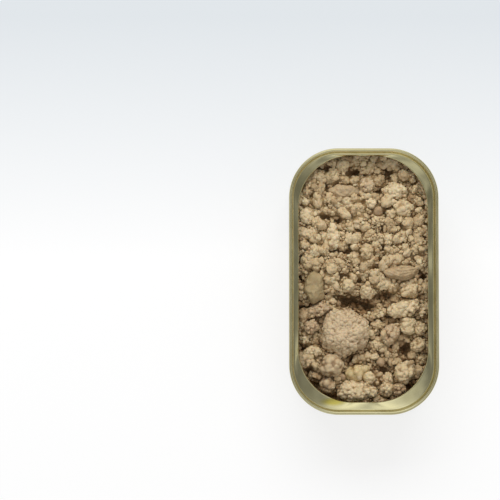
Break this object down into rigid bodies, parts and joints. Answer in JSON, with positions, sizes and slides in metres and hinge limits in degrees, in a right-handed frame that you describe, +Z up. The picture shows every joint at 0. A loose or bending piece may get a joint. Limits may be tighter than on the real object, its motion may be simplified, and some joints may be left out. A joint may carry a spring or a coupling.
{
  "type": "dog food can",
  "caption": "Opened oblong metal can with a double seam and a torn easy-open ledge, filled with uneven fish crumbs, lumps and flakes.",
  "frame": {"origin": "middle of the underside, on the surface that the can rests on", "axes": "+Z up out of the can's mouth, +Y along the can's length towards the end where the food stands highest, +X across the can"},
  "size_m": [0.059, 0.105, 0.0285],
  "materials": {
    "cup": "gold-lacquered sheet metal, satin",
    "end": "gold-lacquered sheet metal, satin, bare along the torn edge",
    "crumbs": "moist cooked fish, rough",
    "lumps": "moist cooked fish, rough"
  },
  "bodies": {
    "root": {"can_body": "cup", "end_ring": "end", "crumb_bed": "crumbs", "lump_main": "lumps", "lump_arm": "lumps", "lump_smooth": "lumps", "lump_round": "lumps", "lump_yellow": "lumps", "lump_end": "lumps", "lump_corner_low": "lumps", "lump_corner_high": "lumps", "lump_mid": "lumps", "lump_ridge": "lumps", "lump_side": "lumps", "lump_wall": "lumps", "flake_fibrous": "lumps", "lump_long": "lumps", "lump_fan": "lumps", "lump_upper": "lumps", "flake_oval": "lumps", "lump_top": "lumps", "lump_top_right": "lumps", "lump_left": "lumps", "lump_chunk": "lumps", "lump_tan": "lumps", "lump_bank": "lumps", "lump_hang": "lumps"}
  },
  "joints": []
}
